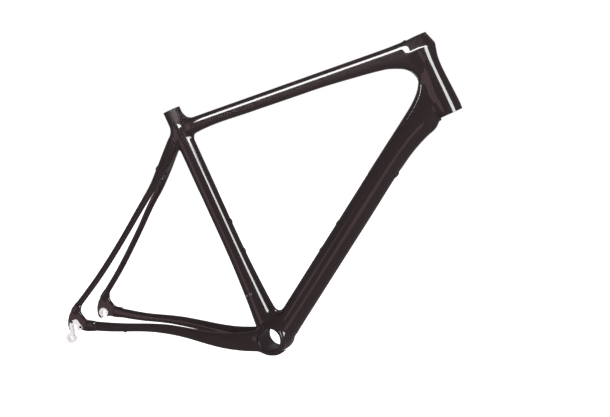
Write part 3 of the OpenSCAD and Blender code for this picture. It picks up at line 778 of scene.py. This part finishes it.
def satin_above(piece, distance, satin):
    """Gives the seat tube's stub, which a seatpost collar grips, a satin coat."""
    piece.data.materials.append(satin)
    for polygon in piece.data.polygons:
        if polygon.center.dot(Vector(SEAT_DIR)) > distance * MM:
            polygon.material_index = 1


# ---- materials ----

class Nodes:
    """Short hand for building a node tree."""

    def __init__(self, name):
        self.material = bpy.data.materials.new(name)
        self.material.use_nodes = True
        self.tree = self.material.node_tree
        self.shader = self.tree.nodes["Principled BSDF"]

    def add(self, kind, **settings):
        node = self.tree.nodes.new(kind)
        for key, value in settings.items():
            setattr(node, key, value)
        return node

    def link(self, source, target):
        self.tree.links.new(source, target)

    def math(self, operation, a, b=0.0):
        node = self.add("ShaderNodeMath", operation=operation)
        for socket, value in zip(node.inputs, (a, b)):
            if isinstance(value, (int, float)):
                socket.default_value = value
            else:
                self.link(value, socket)
        return node.outputs[0]

    def ramp(self, factor, low, high, start=0.0, end=1.0):
        """Colour from low to high as the factor goes from start to end."""
        node = self.add("ShaderNodeValToRGB")
        node.color_ramp.elements[0].position, node.color_ramp.elements[0].color = start, (*low, 1)
        node.color_ramp.elements[1].position, node.color_ramp.elements[1].color = end, (*high, 1)
        self.link(factor, node.inputs[0])
        return node.outputs[0]

    def spread(self, factor, low, high):
        """Number from low to high as the factor goes from 0 to 1."""
        node = self.add("ShaderNodeMapRange")
        node.inputs["To Min"].default_value, node.inputs["To Max"].default_value = low, high
        self.link(factor, node.inputs["Value"])
        return node.outputs["Result"]

    def noise(self, vector, scale, detail=2.0, stretch=(1, 1, 1)):
        mapping = self.add("ShaderNodeMapping")
        mapping.inputs["Scale"].default_value = stretch
        node = self.add("ShaderNodeTexNoise")
        node.inputs["Scale"].default_value, node.inputs["Detail"].default_value = scale, detail
        self.link(vector, mapping.inputs["Vector"])
        self.link(mapping.outputs[0], node.inputs["Vector"])
        return node.outputs["Fac"]

    def bump(self, height, strength, distance):
        node = self.add("ShaderNodeBump")
        node.inputs["Strength"].default_value, node.inputs["Distance"].default_value = strength, distance
        self.link(height, node.inputs["Height"])
        self.link(node.outputs[0], self.shader.inputs["Normal"])

    def set(self, **values):
        for key, value in values.items():
            self.shader.inputs[key.replace("_", " ")].default_value = value


TOW = 1.2
TWILL_REPEAT = 4


def carbon_cloth(name, coat_weight, coat_roughness):
    """2 x 2 twill cloth at 45 degrees to the tube, under clear lacquer. The UVs are in millimetres."""
    n = Nodes(name)
    uv = n.add("ShaderNodeUVMap", uv_map="plies").outputs[0]
    turned = n.add("ShaderNodeMapping")
    turned.inputs["Rotation"].default_value = (0, 0, math.radians(45))
    turned.inputs["Scale"].default_value = (1 / TOW, 1 / TOW, 1)
    n.link(uv, turned.inputs["Vector"])
    axes = n.add("ShaderNodeSeparateXYZ")
    n.link(turned.outputs[0], axes.inputs[0])
    x, y = axes.outputs[0], axes.outputs[1]
    step = n.math("SUBTRACT", n.math("FLOOR", x), n.math("FLOOR", y))
    phase = n.math("FLOORED_MODULO", step, TWILL_REPEAT)
    warp_on_top = n.math("LESS_THAN", phase, TWILL_REPEAT / 2)

    def crown_of(coordinate):
        """0 at a tow's edges and 1 along its middle."""
        off = n.math("ABSOLUTE", n.math("SUBTRACT", n.math("FRACT", coordinate), 0.5))
        return n.math("SUBTRACT", 1.0, n.math("MULTIPLY", n.math("MULTIPLY", off, off), 4.0))

    def either(warp, weft):
        mix = n.add("ShaderNodeMix", data_type="FLOAT")
        n.link(warp_on_top, mix.inputs["Factor"])
        n.link(weft, mix.inputs["A"])
        n.link(warp, mix.inputs["B"])
        return mix.outputs["Result"]

    tow = either(crown_of(x), crown_of(y))
    fibres = either(
        n.noise(turned.outputs[0], 3.0, 3.0, (9, 0.4, 1)), n.noise(turned.outputs[0], 3.0, 3.0, (0.4, 9, 1))
    )
    cloudy = n.noise(n.add("ShaderNodeTexCoord").outputs["Object"], 9.0, 3.0)
    warp_shade = n.math("MULTIPLY", warp_on_top, 0.14)
    shade = n.math("ADD", warp_shade, n.math("MULTIPLY", tow, 0.16))
    shade = n.math("ADD", shade, n.math("MULTIPLY", fibres, 0.3))
    shade = n.math("ADD", shade, n.math("MULTIPLY", cloudy, 0.4))
    n.link(n.ramp(shade, (0.011, 0.0065, 0.007), (0.027, 0.0168, 0.018)), n.shader.inputs["Base Color"])
    n.link(n.spread(shade, 0.55, 0.45), n.shader.inputs["Roughness"])
    n.set(Specular_IOR_Level=0.05, Coat_Weight=coat_weight, Coat_Roughness=coat_roughness, Coat_IOR=1.5)
    n.bump(tow, 0.15, 0.00005)
    return n.material


def metal(name, colour, roughness, grain, stretch, metallic=1.0):
    """Machined or plated metal: fine directional tool marks and slow variation of the polish."""
    n = Nodes(name)
    where = n.add("ShaderNodeTexCoord").outputs["Object"]
    marks = n.noise(where, grain, 4.0, stretch)
    cloud = n.noise(where, 60.0, 3.0)
    low = tuple(c * 0.86 for c in colour)
    n.link(n.ramp(marks, low, colour, 0.3, 0.65), n.shader.inputs["Base Color"])
    mixed = n.math("ADD", n.math("MULTIPLY", marks, 0.6), n.math("MULTIPLY", cloud, 0.4))
    n.link(n.spread(mixed, roughness * 0.75, roughness * 1.3), n.shader.inputs["Roughness"])
    n.set(Metallic=metallic)
    n.bump(marks, 0.3, 0.00004)
    return n.material


def moulded_plastic():
    n = Nodes("moulded_plastic")
    where = n.add("ShaderNodeTexCoord").outputs["Object"]
    grain = n.noise(where, 1800.0, 2.0)
    cloud = n.noise(where, 90.0, 3.0)
    tint = n.ramp(cloud, (0.012, 0.012, 0.013), (0.028, 0.027, 0.028), 0.3, 0.7)
    n.link(tint, n.shader.inputs["Base Color"])
    n.link(n.spread(grain, 0.38, 0.55), n.shader.inputs["Roughness"])
    n.bump(grain, 0.25, 0.00005)
    return n.material


# ---- metal and plastic hardware ----

def edged_copy(node, edge, material, carbon=False):
    """The CAD piece with its sharp edges broken by a small bevel."""
    mesh = frame["nodes"][node].data.copy()
    bm = bmesh.new()
    bm.from_mesh(mesh)
    bmesh.ops.remove_doubles(bm, verts=bm.verts, dist=0.000002)
    bmesh.ops.dissolve_limit(bm, angle_limit=math.radians(0.6), verts=bm.verts, edges=bm.edges)
    bm.to_mesh(mesh)
    bm.free()
    for attribute in [a.name for a in mesh.attributes if a.name == "custom_normal"]:
        mesh.attributes.remove(mesh.attributes[attribute])
    piece = bpy.data.objects.new(f"{node}_finished", mesh)
    bpy.context.scene.collection.objects.link(piece)
    bevel = piece.modifiers.new("broken edges", "BEVEL")
    bevel.width, bevel.segments, bevel.limit_method = edge * MM, 2, "ANGLE"
    bevel.angle_limit = math.radians(35)
    bevel.harden_normals = True
    mesh.polygons.foreach_set("use_smooth", np.ones(len(mesh.polygons), bool))
    mesh.set_sharp_from_angle(angle=math.radians(35))
    piece.data = bpy.data.meshes.new_from_object(piece.evaluated_get(bpy.context.evaluated_depsgraph_get()))
    piece.modifiers.clear()
    if carbon:
        lay_plies(piece.data, (np.zeros(3), SEAT_DIR, 18))
    piece.data.materials.clear()
    piece.data.materials.append(material)
    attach(piece, "root")
    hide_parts(node)
    return piece


# ---- building ----

carbon = carbon_cloth("lacquered_carbon", 1.0, 0.04)
satin_carbon = carbon_cloth("satin_carbon", 0.25, 0.5)
bright_alloy = metal("bright_alloy", (0.95, 0.95, 0.955), 0.40, 320.0, (1, 1, 6), 0.4)
dull_alloy = metal("dull_alloy", (0.45, 0.41, 0.43), 0.42, 500.0, (1, 1, 1))
dark_anodising = metal("dark_anodising", (0.12, 0.115, 0.12), 0.30, 500.0, (1, 8, 1))
black_steel = metal("black_steel", (0.10, 0.10, 0.105), 0.36, 700.0, (1, 1, 1))
plastic = moulded_plastic()

source = whole_skin()
for node, (cuts, tools, wrap) in MOULDINGS.items():
    piece = make_moulding(node, source, cuts, tools, wrap, carbon)
    if node == "seat_tube":
        satin_above(piece, STUB_START, satin_carbon)
bpy.data.objects.remove(source)

HARDWARE = [
    ("dropout_left", 0.5, bright_alloy, "alloy"),
    ("dropout_right", 0.3, bright_alloy, "alloy"),
    ("derailleur_hanger", 0.5, bright_alloy, "alloy"),
    ("hanger_screws", 0.25, black_steel, "steel"),
    ("upper_headset_sleeve", 0.3, dark_anodising, "sleeve"),
    ("lower_headset_seat", 0.3, dark_anodising, "sleeve"),
    ("bb_sleeve", 0.5, dark_anodising, "sleeve"),
    ("seatpost_sleeve", 0.2, dark_anodising, "sleeve"),
    ("brake_bolt_sleeve", 0.4, dark_anodising, "sleeve"),
    ("cover_plate_rivets", 0.25, dull_alloy, "alloy"),
    ("down_tube_bottle_inserts", 0.25, black_steel, "steel"),
    ("seat_tube_bottle_inserts", 0.25, black_steel, "steel"),
    ("bb_cable_guide", 0.5, plastic, "black_plastic"),
    ("cable_guide_screw", 0.3, black_steel, "steel"),
    ("brake_cable_ports", 0.3, plastic, "black_plastic"),
    ("gear_cable_port", 0.3, plastic, "black_plastic"),
    ("chainstay_cable_port", 0.25, plastic, "black_plastic"),
]
for node, edge, material, slot in HARDWARE:
    edged_copy(node, edge, material)
edged_copy("cable_cover_plate", 0.35, carbon, carbon=True)


# ---- camera, floor and light ----

AZIMUTH, ELEVATION, ROLL = (math.radians(a) for a in (20.374, 6.308, 8.547))
CAMERA_PLACE = Vector((1.46722, -3.67116, 0.68270))
SENSOR = 36.0
LENS = 118.24
FLOOR_Z, FLOOR_HALF = -620, 9000


def camera_axes():
    """The camera's right, up and backward directions."""
    level = math.cos(ELEVATION)
    ahead = Vector((-math.sin(AZIMUTH) * level, math.cos(AZIMUTH) * level, -math.sin(ELEVATION)))
    right = Vector((math.cos(AZIMUTH), math.sin(AZIMUTH), 0))
    up = right.cross(ahead)
    c, s = math.cos(ROLL), math.sin(ROLL)
    return c * right - s * up, s * right + c * up, -ahead


def add_camera():
    data = bpy.data.cameras.new("camera")
    data.lens, data.sensor_width = LENS, SENSOR
    camera = bpy.data.objects.new("camera", data)
    right, up, back = camera_axes()
    camera.matrix_world = Matrix.Translation(CAMERA_PLACE) @ Matrix((right, up, back)).transposed().to_4x4()
    bpy.context.scene.collection.objects.link(camera)
    bpy.context.scene.camera = camera


def softbox(name, place, target, width, height, radiance, colour=(1, 1, 1), spin=0):
    """Rectangular light that shows as a reflection in lacquer and metal; the surroundings light the rest."""
    data = bpy.data.lights.new(name, "AREA")
    data.shape, data.size, data.size_y = "RECTANGLE", width, height
    data.energy = radiance * math.pi * width * height
    data.color = colour
    light = bpy.data.objects.new(name, data)
    back = (Vector(place) - Vector(target)).normalized()
    right = Vector((0, 0, 1)).cross(back).normalized()
    axes = Matrix((right, back.cross(right), back)).transposed() @ Matrix.Rotation(math.radians(spin), 3, "Z")
    light.matrix_world = Matrix.Translation(Vector(place)) @ axes.to_4x4()
    light.visible_camera = False
    light.visible_diffuse = False
    bpy.context.scene.collection.objects.link(light)


def add_floor():
    """Pale studio floor well under the frame, too far below to show in its lacquer."""
    corners = [[x, y, FLOOR_Z] for x, y in ((-FLOOR_HALF, -FLOOR_HALF), (FLOOR_HALF, -FLOOR_HALF),
                                            (FLOOR_HALF, FLOOR_HALF), (-FLOOR_HALF, FLOOR_HALF))]
    floor = mesh_object("floor", corners, [[0, 1, 2, 3]])
    n = Nodes("pale_floor")
    n.set(Base_Color=(0.9, 0.9, 0.9, 1), Roughness=0.9, Emission_Color=(1, 1, 1, 1), Emission_Strength=0.62)
    floor.data.materials.append(n.material)
    floor.visible_glossy = False


def add_world():
    """White surroundings for the eye and a dim studio for reflections."""
    world = bpy.data.worlds.new("studio")
    world.use_nodes = True
    tree = world.node_tree
    tree.nodes.clear()
    white, dim = tree.nodes.new("ShaderNodeBackground"), tree.nodes.new("ShaderNodeBackground")
    white.inputs["Color"].default_value, white.inputs["Strength"].default_value = (1, 1, 1, 1), 1.0
    dim.inputs["Color"].default_value, dim.inputs["Strength"].default_value = (1, 0.84, 0.88, 1), 0.16
    path, mix = tree.nodes.new("ShaderNodeLightPath"), tree.nodes.new("ShaderNodeMixShader")
    out = tree.nodes.new("ShaderNodeOutputWorld")
    tree.links.new(path.outputs["Is Glossy Ray"], mix.inputs["Fac"])
    tree.links.new(white.outputs[0], mix.inputs[1])
    tree.links.new(dim.outputs[0], mix.inputs[2])
    tree.links.new(mix.outputs[0], out.inputs[0])
    bpy.context.scene.world = world


add_camera()
add_floor()
add_world()
# Tall box to the front right: the line down the seat tube and the head tube
softbox("right_box", (1.747, -1.015, 0.403), (0.514, 0, 0.198), 0.78, 1.41, 17, spin=8.6)
# Slim strip close beside the top tube and parallel to it: the long stripe along that tube's shoulder
softbox("top_tube_strip", (0.21, -0.131, 0.539), (0.19, 0, 0.619), 0.73, 0.058, 24, spin=12.6)
# Dim warm panels: the soft bands on the seat tube and the down tube
WARM = (1.0, 0.62, 0.66)
softbox("low_left_panel", (-1.9, -1.9, 0.05), (0.05, 0, 0.25), 1.7, 0.9, 0.8, WARM)
softbox("low_right_panel", (0.15, -2.5, -0.75), (0.2, 0, 0.2), 1.0, 0.9, 0.7, WARM)
# A high box and a low one on the far side, where the side facing the camera hardly reflects them
softbox("high_box", (0.5, 1.68, 2.32), (0.05, 0, 0.25), 0.8, 0.9, 9)
softbox("rear_box", (-2.21, 0.61, -1.1), (0.05, 0, 0.25), 0.8, 0.9, 5)
bpy.context.scene.view_settings.view_transform = "Standard"
